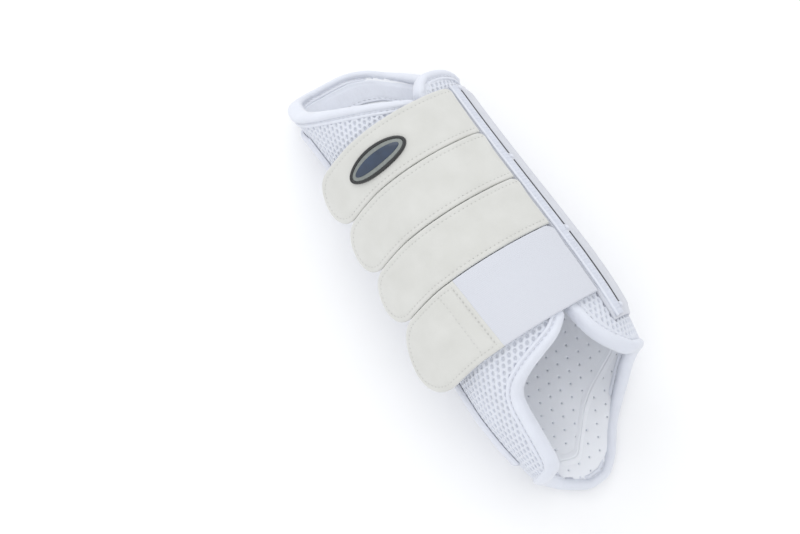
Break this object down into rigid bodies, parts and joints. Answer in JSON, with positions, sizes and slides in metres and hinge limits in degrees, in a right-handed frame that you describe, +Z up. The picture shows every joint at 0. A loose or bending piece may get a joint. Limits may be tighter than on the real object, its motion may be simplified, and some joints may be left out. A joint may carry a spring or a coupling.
{
  "type": "horse leg boot",
  "caption": "Padded leg boot for a horse: mesh-covered wrap with a moulded strike shell and a fetlock cup, closed by hinged hook-and-loop straps sewn to a slotted rail.",
  "frame": {"origin": "middle of the flat panel under the strike shell, which the boot lies on", "axes": "+X along the leg towards the fetlock end, +Y towards the strap rail, +Z up through the closure"},
  "size_m": [0.2876, 0.1195, 0.088],
  "materials": {
    "spacer_mesh": "honeycomb 3-D spacer mesh, matte",
    "perforated_lining": "smooth jersey on neoprene, rows of small perforations",
    "foam": "closed-cell foam, matte",
    "binding": "soft knitted stretch binding, matte",
    "seam_tape": "narrow knitted tape, matte",
    "moulded_shell": "satin flexible moulding",
    "webbing": "ribbed webbing, matte",
    "loop_pile": "short loop pile",
    "elastic": "flat woven elastic, fine ribs",
    "strap_cover": "soft nubuck-like synthetic, off white",
    "hook_tape": "moulded hooks, matte",
    "badge_rim": "moulded rubber, satin",
    "badge_plate": "moulded rubber, fine texture",
    "badge_inlay": "smooth gloss"
  },
  "bodies": {
    "root": {"mesh_cover_tab_side": "spacer_mesh", "mesh_cover_strike_side": "spacer_mesh", "liner_tab_side": "perforated_lining", "liner_strike_side": "perforated_lining", "foam_core_tab_side": "foam", "strike_pad": "foam", "knee_binding_main": "binding", "fetlock_binding_main": "binding", "closure_binding_tab_side": "binding", "liner_seam_tape": "seam_tape", "knee_hem_facing": "seam_tape", "outer_shell": "moulded_shell", "loop_landing": "loop_pile"},
    "flap": {"mesh_cover_flap": "spacer_mesh", "liner_flap": "perforated_lining", "foam_core_flap": "foam", "knee_binding_flap": "binding", "fetlock_binding_flap": "binding", "closure_binding_flap": "binding", "strap_rail": "moulded_shell", "rail_webbing": "webbing"},
    "strap_1": {"elastic_1": "elastic", "strap_cover_1": "strap_cover", "hook_pad_1": "hook_tape", "badge_rim": "badge_rim", "badge_plate": "badge_plate", "badge_inlay": "badge_inlay"},
    "strap_2": {"elastic_2": "elastic", "strap_cover_2": "strap_cover", "hook_pad_2": "hook_tape"},
    "strap_3": {"elastic_3": "elastic", "strap_cover_3": "strap_cover", "hook_pad_3": "hook_tape"},
    "strap_4": {"elastic_4": "elastic", "strap_cover_4": "strap_cover", "hook_pad_4": "hook_tape"}
  },
  "joints": [
    {"name": "flap_flex", "type": "hinge", "parent": "root", "child": "flap", "pos_m": [0, 0.0529, 0.03351], "axis": [-0.9994, -0.0186, -0.0285], "range_deg": [0, 24]},
    {"name": "strap_1_open", "type": "hinge", "parent": "flap", "child": "strap_1", "pos_m": [-0.062, 0.0358, 0.06815], "axis": [-1, 0, 0], "range_deg": [0, 120]},
    {"name": "strap_2_open", "type": "hinge", "parent": "flap", "child": "strap_2", "pos_m": [-0.0298, 0.03686, 0.07015], "axis": [-1, 0, 0], "range_deg": [0, 120]},
    {"name": "strap_3_open", "type": "hinge", "parent": "flap", "child": "strap_3", "pos_m": [0.0024, 0.03817, 0.07261], "axis": [-1, 0, 0], "range_deg": [0, 120]},
    {"name": "strap_4_open", "type": "hinge", "parent": "flap", "child": "strap_4", "pos_m": [0.04073, 0.03954, 0.07518], "axis": [-1, 0, 0], "range_deg": [0, 120]}
  ]
}
